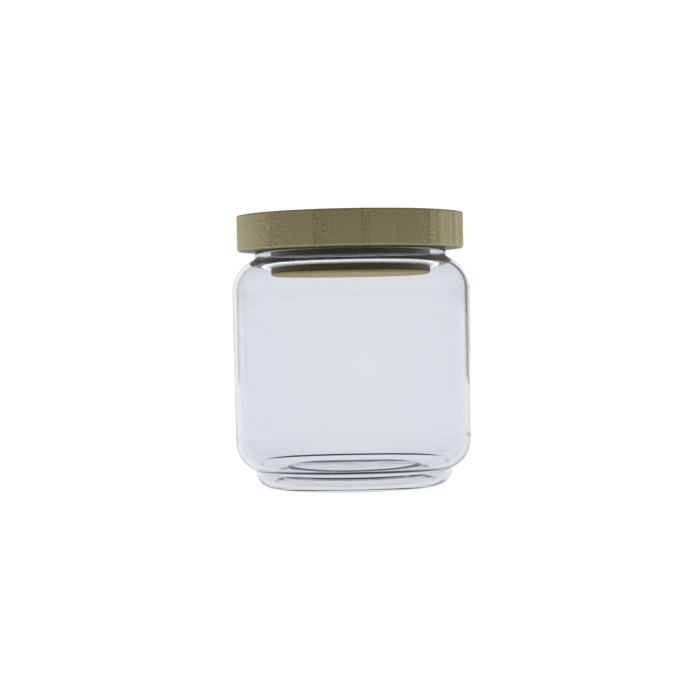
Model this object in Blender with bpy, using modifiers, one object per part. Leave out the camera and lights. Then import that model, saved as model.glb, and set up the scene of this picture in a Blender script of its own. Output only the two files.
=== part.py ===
"""Lidded glass canister: a blown glass jar with a stepped foot, closed by a laminated bamboo lid.

The lid is a wide cap with a narrow plug glued under it. The cap is a row of bamboo staves glued side
by side. A silicone seal sits in a groove round the plug and bears on the neck.

Metres, +Z up. The origin is the centre of the foot's underside, and the staves' grain runs along Y.
"""

import math

import bmesh
import bpy

MM = 0.001

# Jar, outside
NECK_RADIUS = 40.3 * MM
NECK_FILLET = 1.0 * MM
SHOULDER_ROUND = 15.1 * MM
SHOULDER_HEIGHT = 81.5 * MM
BODY_TOP_RADIUS = 50.0 * MM
BODY_LOW_RADIUS = 49.5 * MM
CORNER_ROUND = 12.9 * MM
CORNER_HEIGHT = 19.0 * MM
FOOT_RADIUS = 41.4 * MM
FOOT_FILLET = 0.9 * MM
STANDING_RING_INNER_RADIUS = 33.0 * MM
PUNT_FLAT_RADIUS = 26.0 * MM
PUNT_DEPTH = 4.0 * MM

# Jar, inside. Up to the body's wall, it follows the outside at LOW_WALL
LOW_WALL = 2.3 * MM
INNER_TOP_RADIUS = 47.9 * MM
INNER_SHOULDER_ROUND = 12.8 * MM
INNER_SHOULDER_HEIGHT = 81.8 * MM
INNER_NECK_FILLET = 1.2 * MM
NECK_WALL = 2.3 * MM
MOUTH_RADIUS = NECK_RADIUS - NECK_WALL

# Lid
CAP_UNDERSIDE = 98.9 * MM
CAP_THICKNESS = 14.8 * MM
CAP_RADIUS = 47.6 * MM
CAP_TOP_ROUND = 0.6 * MM
CAP_LOW_CHAMFER = 0.6 * MM
PLUG_RADIUS = 33.5 * MM
PLUG_DEPTH = 10.2 * MM
PLUG_CHAMFER = 0.8 * MM
CAP_SEAMS = [x * MM for x in (-32.0, -14.4, 5.1, 18.6, 32.3)]
GAP = 0.3 * MM

# Seal
GROOVE_HEIGHT = 2.3 * MM
GROOVE_DEPTH = 1.8 * MM
GROOVE_MIDDLE = 93.6 * MM
FIN_RISE = 0.1 * MM
FIN_TIP_HALF = 0.35 * MM
FIN_TAPER = 1.4

SEGMENTS = 64
CUTTER_REACH = 0.2

CAP_TOP = CAP_UNDERSIDE + CAP_THICKNESS
RIM_TOP = CAP_UNDERSIDE - GAP
PLUG_TOP = CAP_UNDERSIDE - GAP
PLUG_BOTTOM = CAP_UNDERSIDE - PLUG_DEPTH


def clear_scene():
    for obj in list(bpy.data.objects):
        bpy.data.objects.remove(obj)


def new_collection(name):
    collection = bpy.data.collections.new(name)
    bpy.context.scene.collection.children.link(collection)
    return collection


def plain_material(name, colour, roughness, transmission=0.0, ior=1.45):
    material = bpy.data.materials.new(name)
    material.use_nodes = True
    material.diffuse_color = (*colour, 1.0)
    shader = material.node_tree.nodes["Principled BSDF"]
    shader.inputs["Base Color"].default_value = (*colour, 1.0)
    shader.inputs["Roughness"].default_value = roughness
    shader.inputs["Metallic"].default_value = 0.0
    shader.inputs["Transmission Weight"].default_value = transmission
    shader.inputs["IOR"].default_value = ior
    return material


def arc(centre, radius, start, end, steps):
    """Points (r, z) on a circle in the half-plane, from angle start to angle end in degrees."""
    angles = [math.radians(start + (end - start) * i / steps) for i in range(steps + 1)]
    return [
        (centre[0] + radius * math.cos(a), centre[1] + radius * math.sin(a))
        for a in angles
    ]


def fillet_beside(centre, radius, wall, fillet, side):
    """The fillet that joins an upright wall to a circle that it meets, as (centre, angle).

    side is 1 where the wall meets the circle's upper half and -1 for its lower half. The angle, in degrees,
    is where the fillet touches the circle.
    """
    across = wall + fillet - centre[0]
    up = side * math.sqrt((radius + fillet) ** 2 - across**2)
    return (wall + fillet, centre[1] + up), math.degrees(math.atan2(up, across))


def jar_profile():
    """The jar's section, from the middle of the floor up inside, over the rim, down outside and under."""
    corner = (BODY_LOW_RADIUS - CORNER_ROUND, CORNER_HEIGHT)
    step, step_touch = fillet_beside(corner, CORNER_ROUND, FOOT_RADIUS, FOOT_FILLET, -1)
    foot_round = step[1]
    foot = (FOOT_RADIUS - foot_round, foot_round)

    points = [(r, z + LOW_WALL) for r, z in reversed(punt_profile())]
    points += arc(foot, foot_round - LOW_WALL, -90, 0, 5)
    points += arc(step, FOOT_FILLET + LOW_WALL, 180, 180 + step_touch, 4)[1:]
    points += arc(corner, CORNER_ROUND - LOW_WALL, step_touch, 0, 5)[1:]

    shoulder = (INNER_TOP_RADIUS - INNER_SHOULDER_ROUND, INNER_SHOULDER_HEIGHT)
    fillet, touch = fillet_beside(
        shoulder, INNER_SHOULDER_ROUND, MOUTH_RADIUS, INNER_NECK_FILLET, 1
    )
    points += arc(shoulder, INNER_SHOULDER_ROUND, 0, touch, 5)
    points += arc(fillet, INNER_NECK_FILLET, 180 + touch, 180, 2)[1:]

    lip = NECK_WALL / 2
    points += arc((MOUTH_RADIUS + lip, RIM_TOP - lip), lip, 180, 0, 6)

    shoulder = (BODY_TOP_RADIUS - SHOULDER_ROUND, SHOULDER_HEIGHT)
    fillet, touch = fillet_beside(
        shoulder, SHOULDER_ROUND, NECK_RADIUS, NECK_FILLET, 1
    )
    points += arc(fillet, NECK_FILLET, 180, 180 + touch, 2)
    points += arc(shoulder, SHOULDER_ROUND, touch, 0, 6)[1:]

    points += arc(corner, CORNER_ROUND, 0, step_touch, 5)
    points += arc(step, FOOT_FILLET, 180 + step_touch, 180, 2)[1:]
    points += arc(foot, foot_round, 0, -90, 5)[1:]
    return points + punt_profile()


def punt_profile():
    """The hollow under the base, from the standing ring's inner edge to the middle."""
    steps = 5
    points = []
    for i in range(steps + 1):
        share = i / steps
        radius = STANDING_RING_INNER_RADIUS + share * (
            PUNT_FLAT_RADIUS - STANDING_RING_INNER_RADIUS
        )
        points.append((radius, PUNT_DEPTH * (1 - math.cos(math.pi * share)) / 2))
    return points + [(0.0, PUNT_DEPTH)]


def cap_profile():
    rounded = arc(
        (CAP_RADIUS - CAP_TOP_ROUND, CAP_TOP - CAP_TOP_ROUND), CAP_TOP_ROUND, 90, 0, 3
    )
    return (
        [(0.0, CAP_TOP)]
        + rounded
        + [
            (CAP_RADIUS, CAP_UNDERSIDE + CAP_LOW_CHAMFER),
            (CAP_RADIUS - CAP_LOW_CHAMFER, CAP_UNDERSIDE),
            (0.0, CAP_UNDERSIDE),
        ]
    )


def plug_profile():
    groove_top = GROOVE_MIDDLE + GROOVE_HEIGHT / 2
    groove_bottom = GROOVE_MIDDLE - GROOVE_HEIGHT / 2
    groove_radius = PLUG_RADIUS - GROOVE_DEPTH
    return [
        (0.0, PLUG_TOP),
        (PLUG_RADIUS, PLUG_TOP),
        (PLUG_RADIUS, groove_top),
        (groove_radius, groove_top),
        (groove_radius, groove_bottom),
        (PLUG_RADIUS, groove_bottom),
        (PLUG_RADIUS, PLUG_BOTTOM + PLUG_CHAMFER),
        (PLUG_RADIUS - PLUG_CHAMFER, PLUG_BOTTOM),
        (0.0, PLUG_BOTTOM),
    ]


def seal_profile():
    """The seal's closed section: a band in the groove and a fin that rises and thins towards the glass."""
    root_radius = PLUG_RADIUS + GAP
    tip_radius = MOUTH_RADIUS - GAP
    root_half = GROOVE_HEIGHT / 2 - GAP
    steps = 5
    upper, lower = [], []
    for i in range(steps + 1):
        share = i / steps
        radius = root_radius + share * (tip_radius - FIN_TIP_HALF - root_radius)
        middle = GROOVE_MIDDLE + FIN_RISE * share
        half = FIN_TIP_HALF + (root_half - FIN_TIP_HALF) * (1 - share) ** FIN_TAPER
        upper.append((radius, middle + half))
        lower.append((radius, middle - half))
    tip_centre = (tip_radius - FIN_TIP_HALF, GROOVE_MIDDLE + FIN_RISE)
    tip = arc(tip_centre, FIN_TIP_HALF, 90, -90, 4)[1:-1]
    band_radius = PLUG_RADIUS - GROOVE_DEPTH + GAP
    band = [
        (band_radius, GROOVE_MIDDLE - root_half),
        (band_radius, GROOVE_MIDDLE + root_half),
    ]
    return upper + tip + lower[::-1] + band


def turned(name, profile, material, collection, closed=False):
    """A solid of revolution about Z, from a profile of (r, z) points that runs down its outer side."""
    mesh = bpy.data.meshes.new(name)
    edges = [(i, i + 1) for i in range(len(profile) - 1)]
    if closed:
        edges.append((len(profile) - 1, 0))
    mesh.from_pydata([(r, 0.0, z) for r, z in profile], edges, [])
    mesh.materials.append(material)
    obj = bpy.data.objects.new(name, mesh)
    collection.objects.link(obj)
    screw = obj.modifiers.new("turn", "SCREW")
    screw.axis = "Z"
    screw.angle = math.tau
    screw.steps = SEGMENTS
    screw.render_steps = SEGMENTS
    screw.use_smooth_shade = True
    screw.use_merge_vertices = True
    screw.merge_threshold = 0.01 * MM
    return obj


def slab_cutter(name, low, high, collection):
    """A block that holds everything between two planes across X."""
    mesh = bpy.data.meshes.new(name)
    block = bmesh.new()
    bmesh.ops.create_cube(block, size=1.0)
    bmesh.ops.scale(
        block, vec=(high - low, CUTTER_REACH, CUTTER_REACH), verts=block.verts
    )
    block.to_mesh(mesh)
    block.free()
    obj = bpy.data.objects.new(name, mesh)
    obj.location = ((low + high) / 2, 0.0, CAP_UNDERSIDE)
    obj.hide_render = True
    obj.display_type = "WIRE"
    collection.objects.link(obj)
    return obj


def cap_staves(material, parts, cutters):
    """The turned cap as its staves, numbered from -X to +X, with a gap at each glue line."""
    edges = [-CUTTER_REACH, *CAP_SEAMS, CUTTER_REACH]
    for i, (low, high) in enumerate(zip(edges, edges[1:]), start=1):
        stave = turned(f"cap_stave_{i}", cap_profile(), material, parts)
        cut = stave.modifiers.new("stave", "BOOLEAN")
        cut.operation = "INTERSECT"
        cut.solver = "EXACT"
        cut.object = slab_cutter(
            f"cap_stave_{i}_slab", low + GAP / 2, high - GAP / 2, cutters
        )


def build():
    clear_scene()
    parts = new_collection("glass_canister")
    cutters = new_collection("cutters")
    glass = plain_material("clear_glass", (0.93, 0.94, 0.95), 0.02, 1.0, 1.47)
    bamboo = plain_material("bamboo", (0.42, 0.36, 0.20), 0.5)
    silicone = plain_material("silicone", (0.82, 0.83, 0.85), 0.4, 0.4, 1.41)

    turned("glass_jar", jar_profile(), glass, parts)
    turned("seal_ring", seal_profile(), silicone, parts, closed=True)
    turned("plug", plug_profile(), bamboo, parts)
    cap_staves(bamboo, parts, cutters)


build()
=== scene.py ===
"""The looks of the lidded glass canister: clear glass, a silicone seal and a lid of bamboo staves.

Lengths are in metres, unless a name ends in _MM or a node's input comes from place_in_mm.
"""

import math

import bmesh
import bpy
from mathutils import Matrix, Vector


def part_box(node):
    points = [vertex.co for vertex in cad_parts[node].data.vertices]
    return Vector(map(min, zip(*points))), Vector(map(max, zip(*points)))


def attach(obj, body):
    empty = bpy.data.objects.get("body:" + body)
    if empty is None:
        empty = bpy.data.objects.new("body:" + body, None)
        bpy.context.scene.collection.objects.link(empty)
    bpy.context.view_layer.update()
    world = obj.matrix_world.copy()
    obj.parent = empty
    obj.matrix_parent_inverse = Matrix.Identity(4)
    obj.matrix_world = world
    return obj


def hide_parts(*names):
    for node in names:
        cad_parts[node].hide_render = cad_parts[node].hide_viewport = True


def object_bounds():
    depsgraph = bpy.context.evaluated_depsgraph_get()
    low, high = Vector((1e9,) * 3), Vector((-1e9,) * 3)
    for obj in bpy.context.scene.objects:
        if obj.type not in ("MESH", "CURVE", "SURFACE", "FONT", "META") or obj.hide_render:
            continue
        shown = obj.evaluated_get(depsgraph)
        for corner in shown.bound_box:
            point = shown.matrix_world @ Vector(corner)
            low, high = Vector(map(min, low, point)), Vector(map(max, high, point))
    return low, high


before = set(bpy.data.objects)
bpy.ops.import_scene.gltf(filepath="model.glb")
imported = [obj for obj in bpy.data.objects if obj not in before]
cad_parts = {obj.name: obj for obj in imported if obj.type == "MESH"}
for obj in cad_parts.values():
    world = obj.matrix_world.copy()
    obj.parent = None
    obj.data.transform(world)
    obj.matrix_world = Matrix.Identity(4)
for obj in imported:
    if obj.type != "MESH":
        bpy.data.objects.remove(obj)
cad_low, cad_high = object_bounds()

MM = 0.001

# Places read from the frame
_, JAR_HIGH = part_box("glass_jar")
PLUG_LOW, PLUG_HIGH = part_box("plug")
SEAL_LOW, SEAL_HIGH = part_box("seal_ring")
STAVES = [f"cap_stave_{i}" for i in range(1, 7)]
STAVE_BOXES = [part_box(name) for name in STAVES]

BODY_TOP_RADIUS = JAR_HIGH.x
RIM_TOP = JAR_HIGH.z
CAP_RADIUS = STAVE_BOXES[-1][1].x
CAP_TOP = STAVE_BOXES[0][1].z
CAP_UNDERSIDE = STAVE_BOXES[0][0].z
PLUG_RADIUS = PLUG_HIGH.x
PLUG_BOTTOM = PLUG_LOW.z
SEAMS = [
    (left[1].x + right[0].x) / 2 for left, right in zip(STAVE_BOXES, STAVE_BOXES[1:])
]

# Jar, outside
NECK_RADIUS = 40.3 * MM
NECK_FILLET = 1.0 * MM
SHOULDER_ROUND = 15.1 * MM
SHOULDER_HEIGHT = 81.5 * MM
BODY_LOW_RADIUS = 49.5 * MM
CORNER_ROUND = 12.9 * MM
CORNER_HEIGHT = 19.0 * MM
FOOT_RADIUS = 41.4 * MM
FOOT_FILLET = 0.9 * MM
STANDING_RING_INNER_RADIUS = 33.0 * MM
PUNT_FLAT_RADIUS = 26.0 * MM
PUNT_DEPTH = 4.0 * MM
MOULD_LINE_HEIGHT = 21.7 * MM
MOULD_LINE_HALF = 0.3 * MM
MOULD_LINE_DEPTH = 0.015 * MM

# Jar, inside. Below the body's wall it runs parallel to the outside, LOW_WALL further in
LOW_WALL = 2.3 * MM
INNER_TOP_RADIUS = 47.9 * MM
INNER_SHOULDER_ROUND = 12.8 * MM
INNER_SHOULDER_HEIGHT = 81.8 * MM
INNER_NECK_FILLET = 1.2 * MM
NECK_WALL = 2.3 * MM
MOUTH_RADIUS = NECK_RADIUS - NECK_WALL

# The blown glass's ripple, which begins below the rim and reaches its depth lower down
INSIDE_RIPPLE = 0.08 * MM
OUTSIDE_RIPPLE = 0.010 * MM
RIPPLE_START_BELOW_RIM = 6 * MM
RIPPLE_FADE = 12 * MM

# Lid
CAP_LOW_CHAMFER = 0.6 * MM
CAP_EASING = 0.4 * MM
PLUG_CHAMFER = 0.8 * MM
PLUG_EASING = 0.15 * MM
GROOVE_HEIGHT = 2.3 * MM
GROOVE_DEPTH = 1.8 * MM
GLUE_LINE = 0.03 * MM
SEAM_CHAMFER = 0.06 * MM

# Seal. The fin rises a little towards its tip and thins as its taper says
FIN_RISE = 0.1 * MM
FIN_TIP_HALF = 0.35 * MM
FIN_TAPER = 1.4
SEAL_CLEARANCE = 0.05 * MM
GROOVE_MIDDLE = (SEAL_LOW.z + SEAL_HIGH.z) / 2
SEAL_BAND_RADIUS = PLUG_RADIUS - GROOVE_DEPTH + SEAL_CLEARANCE

ROUND_SEGMENTS = 256
LONG_WALL = 4 * MM
LONG_WALL_STEPS = 20
PUNT_STEPS = 16
FIN_STEPS = 18
SHARP_DEGREES = 32
SAME_PLACE = 1e-7

# Finishes, with painted light and shade: the seal's painted glow, and factors that multiply
# bamboo's colour, as painted shade on the plug's side and the cap's underside and as painted light
# on the plug's underside
GLASS_TINT = (0.89, 0.892, 0.902, 1.0)
GLASS_ABSORPTION = (0.48, 0.59, 0.68, 1.0)
GLASS_ABSORPTION_DENSITY = 70.0
GLASS_IOR = 1.47
SILICONE_IOR = 1.41
SEAL_PAINTED_GLOW = 0.85
PLUG_SIDE_PAINTED_SHADE = (0.36, 0.24, 0.04)
PLUG_UNDER_PAINTED_LIGHT = (2.6, 2.5, 1.5)
CAP_UNDER_PAINTED_SHADE = (0.36, 0.34, 0.26)

# For each stave of the cap from low X: whether its dense bark side is its low X side, and its tone,
# which differs from stave to stave; the last stave's high tone is partly painted light for the
# rim's lit end
STAVE_DENSE_LOW = (0, 1, 1, 1, 0, 1)
STAVE_TONES_AND_PAINTED_LIGHT = (1.60, 1.44, 1.36, 1.45, 1.38, 1.95)
LAST_STAVE_STRIPES = 0.45

# Bamboo's colours: along the grain, across it, in a fibre bundle, between bundles, at the cap's
# top edge, and a painted highlight along its bottom edge
LONG_PALE = (0.300, 0.262, 0.148)
LONG_DARK = (0.235, 0.200, 0.104)
CUT_PALE = (0.205, 0.178, 0.088)
CUT_DARK = (0.172, 0.148, 0.070)
FIBRE = (0.070, 0.056, 0.022)
PITH = (0.330, 0.295, 0.175)
SCORCH = (0.200, 0.135, 0.022)
BOTTOM_EDGE_PAINTED_HIGHLIGHT = (0.360, 0.320, 0.190)

# Camera, straight in front of the jar
CAMERA_DISTANCE = 0.740
CAMERA_HEIGHT = 0.0701
CAMERA_LENS_MM = 90.29
CAMERA_SENSOR_MM = 36.0
CAMERA_PITCH = math.radians(1.028)
CAMERA_ROLL = math.radians(1.081)
CAMERA_YAW = math.radians(0.050)

# Floor
FLOOR_HALF_SIDE = 30.0
FLOOR_GAP = 0.05 * MM
FLOOR_GLOW = 0.92

# Studio. How far behind the jar a direction points runs from 1 straight behind to -1 in front.
# A flag reaches from FLAG_OUTER to FLAG_INNER on that scale, and the bright panel is between the
# two flags. On the floor, a flag begins at a distance from the jar
PANEL_TURN = 0.07
FLAG_OUTER = 0.80
FLAG_INNER = 0.89
FLAG_SOFT = 0.02
FLAG_ON_FLOOR_FROM = 0.95
FLAG_ON_FLOOR_FULL = 1.10
LEFT_FLAG_LEVEL = 0.60
RIGHT_FLAG_LEVEL = 0.10
FRONT_LEVEL = 0.15
SIDE_LEVEL = 0.75
BACK_LEVEL = 1.08
OVERHEAD_SHARE = 0.45


def arc(centre, radius, start, end, steps):
    """Points (r, z) on a circle in the half-plane, from angle start to angle end in degrees."""
    angles = [math.radians(start + (end - start) * i / steps) for i in range(steps + 1)]
    return [
        (centre[0] + radius * math.cos(a), centre[1] + radius * math.sin(a))
        for a in angles
    ]


def line(start, end, steps):
    """Points between start and end, leaving both out, so that a wall has vertices along it."""
    return [
        tuple(a + (b - a) * i / steps for a, b in zip(start, end))
        for i in range(1, steps)
    ]


def fillet_beside(centre, radius, wall, fillet, side):
    """The fillet that joins an upright wall to a circle, as (centre, angle of touch in degrees)."""
    across = wall + fillet - centre[0]
    up = side * math.sqrt((radius + fillet) ** 2 - across**2)
    return (wall + fillet, centre[1] + up), math.degrees(math.atan2(up, across))


def joined(*runs):
    """Runs of points as one outline, with vertices along each long straight wall between runs."""
    points = []
    for run in runs:
        if points and math.dist(points[-1], run[0]) > LONG_WALL:
            points += line(points[-1], run[0], LONG_WALL_STEPS)
        points += [p for p in run if not points or math.dist(points[-1], p) > SAME_PLACE]
    return points


def jar_profile():
    """The jar's section as two outlines: its inside up to the rim, and its outside back down."""
    corner = (BODY_LOW_RADIUS - CORNER_ROUND, CORNER_HEIGHT)
    step, step_touch = fillet_beside(corner, CORNER_ROUND, FOOT_RADIUS, FOOT_FILLET, -1)
    foot_round = step[1]
    foot = (FOOT_RADIUS - foot_round, foot_round)
    inner_shoulder = (INNER_TOP_RADIUS - INNER_SHOULDER_ROUND, INNER_SHOULDER_HEIGHT)
    inner_neck, inner_touch = fillet_beside(
        inner_shoulder, INNER_SHOULDER_ROUND, MOUTH_RADIUS, INNER_NECK_FILLET, 1
    )
    lip = NECK_WALL / 2
    lip_centre = (MOUTH_RADIUS + lip, RIM_TOP - lip)
    shoulder = (BODY_TOP_RADIUS - SHOULDER_ROUND, SHOULDER_HEIGHT)
    neck, neck_touch = fillet_beside(shoulder, SHOULDER_ROUND, NECK_RADIUS, NECK_FILLET, 1)
    inside = joined(
        [(r, z + LOW_WALL) for r, z in reversed(punt_profile())],
        arc(foot, foot_round - LOW_WALL, -90, 0, 14),
        arc(step, FOOT_FILLET + LOW_WALL, 180, 180 + step_touch, 12),
        arc(corner, CORNER_ROUND - LOW_WALL, step_touch, 0, 18),
        arc(inner_shoulder, INNER_SHOULDER_ROUND, 0, inner_touch, 20),
        arc(inner_neck, INNER_NECK_FILLET, 180 + inner_touch, 180, 6),
        arc(lip_centre, lip, 180, 90, 7),
    )
    outside = joined(
        arc(lip_centre, lip, 90, 0, 7)[1:],
        arc(neck, NECK_FILLET, 180, 180 + neck_touch, 6),
        arc(shoulder, SHOULDER_ROUND, neck_touch, 0, 24),
        mould_line(),
        arc(corner, CORNER_ROUND, 0, step_touch, 20),
        arc(step, FOOT_FILLET, 180 + step_touch, 180, 6),
        arc(foot, foot_round, 0, -90, 18),
        punt_profile(),
    )
    return inside, outside


def mould_line():
    """The shallow groove round the body, just above its lower corner, where a mould's parts met."""
    slope = (BODY_TOP_RADIUS - BODY_LOW_RADIUS) / (SHOULDER_HEIGHT - CORNER_HEIGHT)
    wall = BODY_LOW_RADIUS + slope * (MOULD_LINE_HEIGHT - CORNER_HEIGHT)
    return [
        (wall + slope * up - MOULD_LINE_DEPTH * deep, MOULD_LINE_HEIGHT + up)
        for up, deep in (
            (MOULD_LINE_HALF, 0.0),
            (MOULD_LINE_HALF / 2, 0.7),
            (0.0, 1.0),
            (-MOULD_LINE_HALF / 2, 0.7),
            (-MOULD_LINE_HALF, 0.0),
        )
    ]


def punt_profile():
    """The hollow under the base, from the standing ring's inner edge to the middle."""
    points = []
    for i in range(PUNT_STEPS + 1):
        share = i / PUNT_STEPS
        radius = STANDING_RING_INNER_RADIUS + share * (
            PUNT_FLAT_RADIUS - STANDING_RING_INNER_RADIUS
        )
        points.append((radius, PUNT_DEPTH * (1 - math.cos(math.pi * share)) / 2))
    return points + [(0.0, PUNT_DEPTH)]


def eased(points, reach, steps=4):
    """The outline with each corner between its two ends rounded off over a short reach."""
    outline = [points[0]]
    for before, corner, after in zip(points, points[1:], points[2:]):
        ends = []
        for other in (before, after):
            share = min(0.45, reach / math.dist(corner, other))
            ends.append([c + (o - c) * share for c, o in zip(corner, other)])
        for i in range(steps + 1):
            t = i / steps
            outline.append(
                tuple(
                    a * (1 - t) ** 2 + c * 2 * t * (1 - t) + b * t**2
                    for a, c, b in zip(ends[0], corner, ends[1])
                )
            )
    return outline + [points[-1]]


def cap_profile():
    """The cap's section, from the middle of its top, down the outside, to its underside."""
    corners = [
        (0.0, CAP_TOP),
        (CAP_RADIUS, CAP_TOP),
        (CAP_RADIUS, CAP_UNDERSIDE + CAP_LOW_CHAMFER),
        (CAP_RADIUS - CAP_LOW_CHAMFER, CAP_UNDERSIDE),
        (0.0, CAP_UNDERSIDE),
    ]
    return eased(corners, CAP_EASING)


def plug_profile():
    """The plug's section, from the middle of its top, round the seal's groove, to its bottom."""
    top = CAP_UNDERSIDE - GLUE_LINE
    groove_top = GROOVE_MIDDLE + GROOVE_HEIGHT / 2
    groove_bottom = GROOVE_MIDDLE - GROOVE_HEIGHT / 2
    groove_radius = PLUG_RADIUS - GROOVE_DEPTH
    corners = [
        (0.0, top),
        (PLUG_RADIUS, top),
        (PLUG_RADIUS, groove_top),
        (groove_radius, groove_top),
        (groove_radius, groove_bottom),
        (PLUG_RADIUS, groove_bottom),
        (PLUG_RADIUS, PLUG_BOTTOM + PLUG_CHAMFER),
        (PLUG_RADIUS - PLUG_CHAMFER, PLUG_BOTTOM),
        (0.0, PLUG_BOTTOM),
    ]
    return eased(corners, PLUG_EASING)


def seal_profile():
    """The seal's closed section: a band in the groove, and a fin that thins towards the glass."""
    root_radius = PLUG_RADIUS + SEAL_CLEARANCE
    tip_radius = SEAL_HIGH.x
    root_half = (SEAL_HIGH.z - SEAL_LOW.z) / 2
    upper, lower = [], []
    for i in range(FIN_STEPS + 1):
        share = i / FIN_STEPS
        radius = root_radius + share * (tip_radius - FIN_TIP_HALF - root_radius)
        middle = GROOVE_MIDDLE + FIN_RISE * share
        half = FIN_TIP_HALF + (root_half - FIN_TIP_HALF) * (1 - share) ** FIN_TAPER
        upper.append((radius, middle + half))
        lower.append((radius, middle - half))
    tip_centre = (tip_radius - FIN_TIP_HALF, GROOVE_MIDDLE + FIN_RISE)
    tip = arc(tip_centre, FIN_TIP_HALF, 90, -90, 12)[1:-1]
    band = [
        (SEAL_BAND_RADIUS, GROOVE_MIDDLE - root_half),
        (SEAL_BAND_RADIUS, GROOVE_MIDDLE + root_half),
    ]
    return upper + tip + lower[::-1] + band


def ripple(height, angle):
    """How far blown glass has drawn in at a place, from 0 to about 1. Near the rim it is 0."""
    below = RIM_TOP - RIPPLE_START_BELOW_RIM - height
    fade = min(1.0, max(0.0, below / RIPPLE_FADE))
    wave = (
        math.sin(3 * angle + 0.7 + height * 9)
        + 0.6 * math.sin(7 * angle + 2.1 - height * 21)
        + 0.4 * math.sin(13 * angle + 4.0 + height * 33)
    )
    return fade * (1 + wave / 2) / 2


def lathe(name, profile, ripples=None, ring=False):
    """A closed solid of revolution about Z.

    An open profile starts and ends on the axis, and a ring's profile is a loop. ripples holds how
    deep the glass's ripple is at each point of the profile.
    """
    mesh = bmesh.new()
    rows = []
    for i, (radius, height) in enumerate(profile):
        if radius == 0.0:
            rows.append([mesh.verts.new((0.0, 0.0, height))])
            continue
        row = []
        for k in range(ROUND_SEGMENTS):
            angle = math.tau * k / ROUND_SEGMENTS
            r = radius - (ripples[i] * ripple(height, angle) if ripples else 0.0)
            row.append(mesh.verts.new((r * math.cos(angle), r * math.sin(angle), height)))
        rows.append(row)
    pairs = list(zip(rows, rows[1:]))
    if ring:
        pairs.append((rows[-1], rows[0]))
    for first, second in pairs:
        for k in range(ROUND_SEGMENTS):
            n = (k + 1) % ROUND_SEGMENTS
            corners = [first[k % len(first)], first[n % len(first)]]
            corners += [second[n % len(second)], second[k % len(second)]]
            mesh.faces.new(dict.fromkeys(corners))
    bmesh.ops.recalc_face_normals(mesh, faces=mesh.faces)
    return finished(name, mesh)


def finished(name, mesh):
    """The mesh as an object in the scene, smooth apart from its sharp edges."""
    data = bpy.data.meshes.new(name)
    mesh.to_mesh(data)
    mesh.free()
    data.shade_smooth()
    data.set_sharp_from_angle(angle=math.radians(SHARP_DEGREES))
    obj = bpy.data.objects.new(name, data)
    bpy.context.scene.collection.objects.link(obj)
    return obj


def clipped(obj, low, high):
    """obj cut to between two planes across X, with its cut sides filled and their edges eased."""
    mesh = bmesh.new()
    mesh.from_mesh(obj.data)
    for place, direction in ((low, -1.0), (high, 1.0)):
        if place is None:
            continue
        bmesh.ops.bisect_plane(
            mesh,
            geom=mesh.verts[:] + mesh.edges[:] + mesh.faces[:],
            plane_co=(place, 0.0, 0.0),
            plane_no=(direction, 0.0, 0.0),
            clear_outer=True,
        )
        rim = [e for e in mesh.edges if e.is_boundary]
        bmesh.ops.holes_fill(mesh, edges=rim)
        side = [
            e
            for e in mesh.edges
            if all(abs(v.co.x - place) < SAME_PLACE for v in e.verts)
        ]
        bmesh.ops.bevel(
            mesh,
            geom=side,
            offset=SEAM_CHAMFER,
            offset_type="OFFSET",
            segments=1,
            affect="EDGES",
            clamp_overlap=True,
        )
    bmesh.ops.recalc_face_normals(mesh, faces=mesh.faces)
    name = obj.name
    bpy.data.objects.remove(obj)
    return finished(name, mesh)


class Nodes:
    """A short way to write a node tree: n = Nodes(tree), n.math("ADD", a, b) and so on."""

    def __init__(self, tree):
        self.tree = tree

    def add(self, kind, inputs=(), **settings):
        made = self.tree.nodes.new(kind)
        for key, value in settings.items():
            setattr(made, key, value)
        for key, value in dict(inputs).items():
            self.set(made.inputs[key], value)
        return made

    def set(self, socket, value):
        if isinstance(value, bpy.types.NodeSocket):
            self.tree.links.new(value, socket)
        else:
            socket.default_value = value

    def math(self, operation, *values):
        made = self.tree.nodes.new("ShaderNodeMath")
        made.operation = operation
        for socket, value in zip(made.inputs, values):
            self.set(socket, value)
        return made.outputs[0]

    def mix(self, share, a, b):
        made = self.tree.nodes.new("ShaderNodeMix")
        made.data_type = "RGBA"
        self.set(made.inputs["Factor"], share)
        self.set(made.inputs["A"], a)
        self.set(made.inputs["B"], b)
        return made.outputs["Result"]

    def remap(self, value, low, high, to_low=0.0, to_high=1.0, smooth=False):
        made = self.tree.nodes.new("ShaderNodeMapRange")
        made.interpolation_type = "SMOOTHSTEP" if smooth else "LINEAR"
        for key, v in zip(
            ("Value", "From Min", "From Max", "To Min", "To Max"),
            (value, low, high, to_low, to_high),
        ):
            self.set(made.inputs[key], v)
        return made.outputs["Result"]

    def noise(self, vector, scale, detail=3.0):
        made = self.add(
            "ShaderNodeTexNoise", {"Vector": vector, "Scale": scale, "Detail": detail}
        )
        return made.outputs["Fac"]

    def normal(self):
        """The surface's own normal, as X, Y and Z."""
        geometry = self.add("ShaderNodeNewGeometry")
        split = self.add("ShaderNodeSeparateXYZ", {"Vector": geometry.outputs["Normal"]})
        return split.outputs["X"], split.outputs["Y"], split.outputs["Z"]

    def vector(self, x, y, z):
        return self.add("ShaderNodeCombineXYZ", {"X": x, "Y": y, "Z": z}).outputs[0]

    def bump(self, height, distance, strength):
        made = self.add(
            "ShaderNodeBump", {"Height": height, "Distance": distance, "Strength": strength}
        )
        return made.outputs["Normal"]


def new_material(name):
    material = bpy.data.materials.new(name)
    material.use_nodes = True
    shader = material.node_tree.nodes["Principled BSDF"]
    return material, Nodes(material.node_tree), shader


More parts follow.
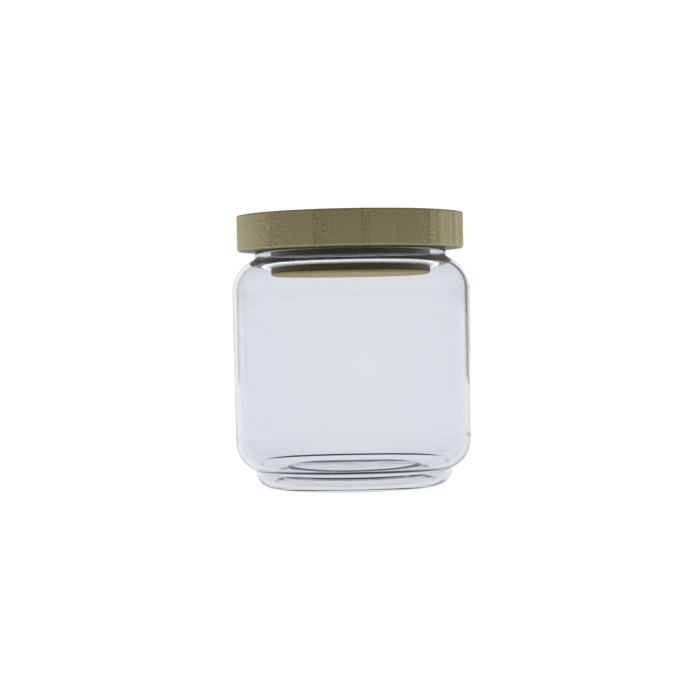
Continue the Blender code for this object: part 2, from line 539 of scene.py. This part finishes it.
def place_in_mm(n):
    """The object's own coordinates in millimetres, as X, Y and Z."""
    coords = n.add("ShaderNodeTexCoord").outputs["Object"]
    scaled = n.add("ShaderNodeVectorMath", operation="SCALE")
    n.set(scaled.inputs[0], coords)
    scaled.inputs["Scale"].default_value = 1 / MM
    split = n.add("ShaderNodeSeparateXYZ", {"Vector": scaled.outputs[0]})
    return split.outputs["X"], split.outputs["Y"], split.outputs["Z"]


def glass_material():
    """Clear blown glass, very slightly cool, with faint ripples and smears."""
    material, n, shader = new_material("glass")
    shader.inputs["Base Color"].default_value = GLASS_TINT
    shader.inputs["Transmission Weight"].default_value = 1.0
    shader.inputs["IOR"].default_value = GLASS_IOR
    shader.inputs["Specular Tint"].default_value = (0.5, 0.5, 0.5, 1.0)
    x, y, z = place_in_mm(n)
    ripple = n.noise(n.vector(x, y, n.math("MULTIPLY", z, 0.3)), 0.05, detail=1.0)
    smear = n.noise(n.vector(x, y, z), 0.12, detail=4.0)
    n.set(shader.inputs["Roughness"], n.remap(smear, 0.5, 0.8, 0.0, 0.012))
    n.set(shader.inputs["Normal"], n.bump(ripple, 0.15 * MM, 0.6))
    absorb = n.add("ShaderNodeVolumeAbsorption")
    absorb.inputs["Color"].default_value = GLASS_ABSORPTION
    absorb.inputs["Density"].default_value = GLASS_ABSORPTION_DENSITY
    output = n.tree.nodes["Material Output"]
    n.tree.links.new(absorb.outputs["Volume"], output.inputs["Volume"])
    return material


def silicone_material():
    """Milky translucent silicone with a soft skin and a little dust.

    Its lower face has a painted glow that grows towards the tip: emission that stands in for light
    from below, though the silicone is no lamp.
    """
    material, n, shader = new_material("silicone")
    shader.inputs["Transmission Weight"].default_value = 0.6
    shader.inputs["IOR"].default_value = SILICONE_IOR
    shader.inputs["Subsurface Weight"].default_value = 0.12
    shader.inputs["Subsurface Radius"].default_value = (1.0, 1.0, 1.0)
    shader.inputs["Subsurface Scale"].default_value = 1.0 * MM
    shader.inputs["Emission Color"].default_value = (0.93, 0.97, 1.0, 1.0)
    x, y, z = place_in_mm(n)
    cloud = n.noise(n.vector(x, y, z), 0.25, detail=3.0)
    n.set(
        shader.inputs["Base Color"],
        n.mix(cloud, (0.96, 0.965, 0.97, 1.0), (0.99, 0.99, 0.99, 1.0)),
    )
    dust = n.noise(n.vector(x, y, z), 3.0, detail=2.0)
    n.set(shader.inputs["Roughness"], n.remap(dust, 0.3, 0.7, 0.28, 0.42))
    n.set(shader.inputs["Normal"], n.bump(dust, 0.02 * MM, 0.5))
    # Painted glow: the lower face emits light, more so towards the tip, standing in for light from
    # below
    _, _, facing_up = n.normal()
    reach = n.math("SQRT", n.math("ADD", n.math("MULTIPLY", x, x), n.math("MULTIPLY", y, y)))
    painted_glow = n.math(
        "MULTIPLY",
        n.remap(facing_up, -0.6, -0.9, smooth=True),
        n.remap(reach, PLUG_RADIUS / MM, MOUTH_RADIUS / MM - 1.0, 0.1, 1.0),
    )
    n.set(shader.inputs["Emission Strength"], n.math("MULTIPLY", painted_glow, SEAL_PAINTED_GLOW))
    return material


def shade_of(colour, tone):
    """The colour made lighter or darker, with its alpha."""
    return (*(c * tone for c in colour), 1.0)


def bamboo_material(
    name,
    low,
    high,
    dense_low,
    tone,
    seed,
    side=None,
    painted_underside_shading=None,
    under_from=-0.8,
    stripes=0.0,
    show_edge_scorch_and_highlight=True,
):
    """Bamboo whose fibres run along Y, for a stave from low to high across X.

    Fibre bundles show as dots on the end grain and as streaks elsewhere. They crowd towards the
    bark side, which is the stave's low X side where dense_low is 1 and its high X side where it
    is 0. side and painted_underside_shading multiply the colour of the turned side and of the
    underside, which begins where the normal's Z falls to under_from: painted shade where they
    darken, painted light where they lighten. stripes adds the layers of a stave laid flat, and
    show_edge_scorch_and_highlight the cap's scorched top edge and a painted highlight on its
    bottom edge.
    stave laid flat, and show_edge_scorch_and_highlight the cap's scorched top edge and pale bottom
    edge.
    """
    material, n, shader = new_material(name)
    x, y, z = place_in_mm(n)
    slow_y = n.math("MULTIPLY", y, 0.035)
    along = n.vector(n.math("ADD", x, seed * 17.0), slow_y, z)
    drift = n.noise(along, 0.30, detail=2.0)
    wander = n.math("MULTIPLY", n.math("SUBTRACT", drift, 0.5), 1.6)
    across = n.math("ADD", x, wander)
    section = n.vector(across, n.math("SUBTRACT", z, wander), 0.0)

    share = n.remap(x, low / MM, high / MM)
    bark = n.math("SUBTRACT", 1.0, share) if dense_low else share
    crowd = n.math("POWER", bark, 2.4)

    cells = n.add(
        "ShaderNodeTexVoronoi",
        {"Vector": section, "Scale": 0.95, "Randomness": 0.55},
        voronoi_dimensions="2D",
        feature="F1",
    )
    reach = n.remap(crowd, 0.0, 1.0, 0.34, 0.52)
    away = cells.outputs["Distance"]
    bundle = n.math("SUBTRACT", 1.0, n.remap(away, 0.06, reach, smooth=True))
    bundle = n.math("MULTIPLY", bundle, n.remap(crowd, 0.0, 1.0, 0.26, 1.0))

    _, facing_y, facing_up = n.normal()
    end_grain = n.remap(n.math("ABSOLUTE", facing_y), 0.35, 0.9, smooth=True)
    upright = n.math("SUBTRACT", 1.0, n.math("ABSOLUTE", facing_up))
    turned_side = n.remap(upright, 0.3, 0.8, smooth=True)
    underside = n.remap(facing_up, under_from, under_from - 0.15, smooth=True)

    cloud = n.noise(along, 0.16, detail=4.0)
    long_grain = n.mix(cloud, shade_of(LONG_PALE, tone), shade_of(LONG_DARK, tone))
    cut_grain = n.mix(cloud, shade_of(CUT_PALE, tone), shade_of(CUT_DARK, tone))
    colour = n.mix(end_grain, long_grain, cut_grain)
    fibre = shade_of(FIBRE, tone)
    colour = n.mix(n.math("MULTIPLY", bundle, 0.62), colour, fibre)
    pith = n.remap(away, reach, n.math("ADD", reach, 0.22), smooth=True)
    pith = n.math("MULTIPLY", pith, n.remap(crowd, 0.0, 1.0, 0.10, 0.42))
    colour = n.mix(pith, colour, shade_of(PITH, tone))

    if stripes:
        layer = n.noise(n.vector(across, slow_y, 0.0), 0.9, detail=3.0)
        layer = n.remap(layer, 0.40, 0.62, smooth=True)
        colour = n.mix(n.math("MULTIPLY", layer, stripes), colour, fibre)

    joint = n.math("ABSOLUTE", n.math("SUBTRACT", y, seed * 7.3 % 50 - 25))
    band = n.math("SUBTRACT", 1.0, n.remap(joint, 0.3, 1.6, smooth=True))
    band = n.math("MULTIPLY", band, n.math("SUBTRACT", 1.0, turned_side))
    colour = n.mix(n.math("MULTIPLY", band, 0.35), colour, fibre)

    # The cap's scorched top edge, and a painted highlight on its bottom edge and chamfer for the
    # light they catch from below
    edge_scorch_and_highlight = (
        (CAP_TOP / MM - 0.8, CAP_TOP / MM - 0.3, SCORCH, 0.75),
        (CAP_UNDERSIDE / MM + 0.9, CAP_UNDERSIDE / MM + 0.5, BOTTOM_EDGE_PAINTED_HIGHLIGHT, 0.55),
    )
    for start, stop, ink, strength in edge_scorch_and_highlight if show_edge_scorch_and_highlight else ():
        edge = n.remap(z, start, stop, smooth=True)
        edge = n.math("MULTIPLY", edge, n.remap(upright, 0.05, 0.35, smooth=True))
        colour = n.mix(n.math("MULTIPLY", edge, strength), colour, (*ink, 1.0))

    # Painted shade and light: the turned side's and the underside's colours multiplied by the given
    # factors
    turned_only = n.math("MULTIPLY", turned_side, n.math("SUBTRACT", 1.0, underside))
    for where, painted_shading in ((turned_only, side), (underside, painted_underside_shading)):
        if painted_shading:
            shaded_colour = n.add("ShaderNodeVectorMath", operation="MULTIPLY")
            n.set(shaded_colour.inputs[0], colour)
            shaded_colour.inputs[1].default_value = painted_shading
            colour = n.mix(where, colour, shaded_colour.outputs[0])

    n.set(shader.inputs["Base Color"], colour)
    grain = n.noise(along, 2.4, detail=3.0)
    n.set(shader.inputs["Roughness"], n.remap(grain, 0.3, 0.7, 0.40, 0.58))
    shader.inputs["Specular IOR Level"].default_value = 0.35
    relief = n.math("SUBTRACT", n.math("MULTIPLY", grain, 0.35), bundle)
    n.set(shader.inputs["Normal"], n.bump(relief, 0.035 * MM, 0.8))
    return material


def dress(piece, body, slot, material, *nodes):
    """Puts a piece in place of CAD nodes, on their body and with their material."""
    piece.data.materials.append(material)
    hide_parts(*nodes)
    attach(piece, body)


def make_jar():
    inside, outside = jar_profile()
    ripples = [INSIDE_RIPPLE] * len(inside) + [OUTSIDE_RIPPLE] * len(outside)
    jar = lathe("jar_glass", inside + outside, ripples)
    dress(jar, "jar", "glass", glass_material(), "glass_jar")


def make_seal():
    seal = lathe("seal_silicone", seal_profile(), ring=True)
    dress(seal, "seal", "silicone", silicone_material(), "seal_ring")


def make_cap():
    """Each stave of the cap, cut from the whole turned shape up to its glue lines."""
    edges = [None, *SEAMS, None]
    for i, name in enumerate(STAVES):
        low, high = edges[i], edges[i + 1]
        board = lathe(name.replace("stave", "strip"), cap_profile())
        strip = clipped(
            board,
            None if low is None else low + GLUE_LINE / 2,
            None if high is None else high - GLUE_LINE / 2,
        )
        bamboo = bamboo_material(
            f"bamboo_{i + 1}",
            -CAP_RADIUS if low is None else low,
            CAP_RADIUS if high is None else high,
            STAVE_DENSE_LOW[i],
            STAVE_TONES_AND_PAINTED_LIGHT[i],
            seed=i + 1,
            # Painted shade darkens the cap's underside
            painted_underside_shading=CAP_UNDER_PAINTED_SHADE,
            stripes=LAST_STAVE_STRIPES if name == STAVES[-1] else 0.0,
        )
        dress(strip, "lid", "bamboo", bamboo, name)


def make_plug():
    plug = lathe("plug_turned", plug_profile())
    bamboo = bamboo_material(
        "bamboo_plug",
        -PLUG_RADIUS,
        PLUG_RADIUS,
        dense_low=1,
        tone=1.0,
        seed=9,
        # Painted shade darkens the plug's turned side, and painted light lightens its underside
        side=PLUG_SIDE_PAINTED_SHADE,
        painted_underside_shading=PLUG_UNDER_PAINTED_LIGHT,
        under_from=-0.1,
        show_edge_scorch_and_highlight=False,
    )
    dress(plug, "lid", "bamboo", bamboo, "plug")


def make_camera():
    data = bpy.data.cameras.new("camera")
    data.lens = CAMERA_LENS_MM
    data.sensor_width = CAMERA_SENSOR_MM
    camera = bpy.data.objects.new("camera", data)
    camera.location = (0.0, -CAMERA_DISTANCE, CAMERA_HEIGHT)
    camera.rotation_euler = (math.pi / 2 - CAMERA_PITCH, CAMERA_ROLL, CAMERA_YAW)
    bpy.context.scene.collection.objects.link(camera)
    bpy.context.scene.camera = camera


def flags(n, place, away):
    """The dark flags at the back panel's two sides, for a place at a distance away from the jar.

    Returns how far behind the jar the place is, as a share of its distance, whether it is on a
    flag, and how bright that flag is.
    """
    split = n.add("ShaderNodeSeparateXYZ", {"Vector": place})
    turn = n.math("MULTIPLY", split.outputs["X"], PANEL_TURN)
    behind = n.math("DIVIDE", n.math("SUBTRACT", split.outputs["Y"], turn), away)
    inside_outer = n.remap(behind, FLAG_OUTER, FLAG_OUTER + FLAG_SOFT, smooth=True)
    outside_inner = n.remap(behind, FLAG_INNER, FLAG_INNER - FLAG_SOFT, smooth=True)
    level = n.remap(split.outputs["X"], -0.01, 0.01, LEFT_FLAG_LEVEL, RIGHT_FLAG_LEVEL)
    return behind, n.math("MULTIPLY", inside_outer, outside_inner), level


def make_floor():
    """A pale floor that gives most of its own light, crossed by the two flags further off."""
    mesh = bmesh.new()
    bmesh.ops.create_grid(mesh, x_segments=8, y_segments=8, size=FLOOR_HALF_SIDE)
    floor = finished("floor", mesh)
    floor.location.z = cad_low.z - FLOOR_GAP
    material, n, shader = new_material("floor")
    coords = n.add("ShaderNodeTexCoord").outputs["Object"]
    cloud = n.noise(coords, 3.0, detail=2.0)
    n.set(
        shader.inputs["Base Color"],
        n.mix(cloud, (0.34, 0.34, 0.34, 1.0), (0.36, 0.36, 0.36, 1.0)),
    )
    shader.inputs["Roughness"].default_value = 0.9
    shader.inputs["Specular IOR Level"].default_value = 0.1
    shader.inputs["Emission Color"].default_value = (1.0, 1.0, 1.0, 1.0)
    away = n.add("ShaderNodeVectorMath", {0: coords}, operation="LENGTH").outputs["Value"]
    _, flag, flag_level = flags(n, coords, away)
    far = n.remap(away, FLAG_ON_FLOOR_FROM, FLAG_ON_FLOOR_FULL, smooth=True)
    glow = n.remap(n.math("MULTIPLY", flag, far), 0.0, 1.0, FLOOR_GLOW, flag_level)
    n.set(shader.inputs["Emission Strength"], glow)
    floor.data.materials.append(material)


def make_world():
    """A studio with a bright panel behind the jar, flags at its sides and little in front."""
    world = bpy.data.worlds.new("studio")
    bpy.context.scene.world = world
    world.use_nodes = True
    n = Nodes(world.node_tree)
    direction = n.add("ShaderNodeTexCoord").outputs["Generated"]
    split = n.add("ShaderNodeSeparateXYZ", {"Vector": direction})
    behind, flag, flag_level = flags(n, direction, 1.0)
    level = n.math(
        "ADD",
        n.remap(behind, -0.9, 0.1, FRONT_LEVEL, SIDE_LEVEL, smooth=True),
        n.remap(behind, FLAG_OUTER, FLAG_INNER, 0.0, BACK_LEVEL - SIDE_LEVEL, smooth=True),
    )
    overhead = n.remap(split.outputs["Z"], 0.3, 0.75, 1.0, OVERHEAD_SHARE, smooth=True)
    level = n.remap(flag, 0.0, 1.0, n.math("MULTIPLY", level, overhead), flag_level)
    background = n.tree.nodes["Background"]
    n.set(background.inputs["Strength"], level)
    background.inputs["Color"].default_value = (1.0, 1.0, 1.0, 1.0)


make_camera()
make_floor()
make_world()
make_jar()
make_seal()
make_cap()
make_plug()

bpy.context.scene.view_settings.view_transform = "Standard"
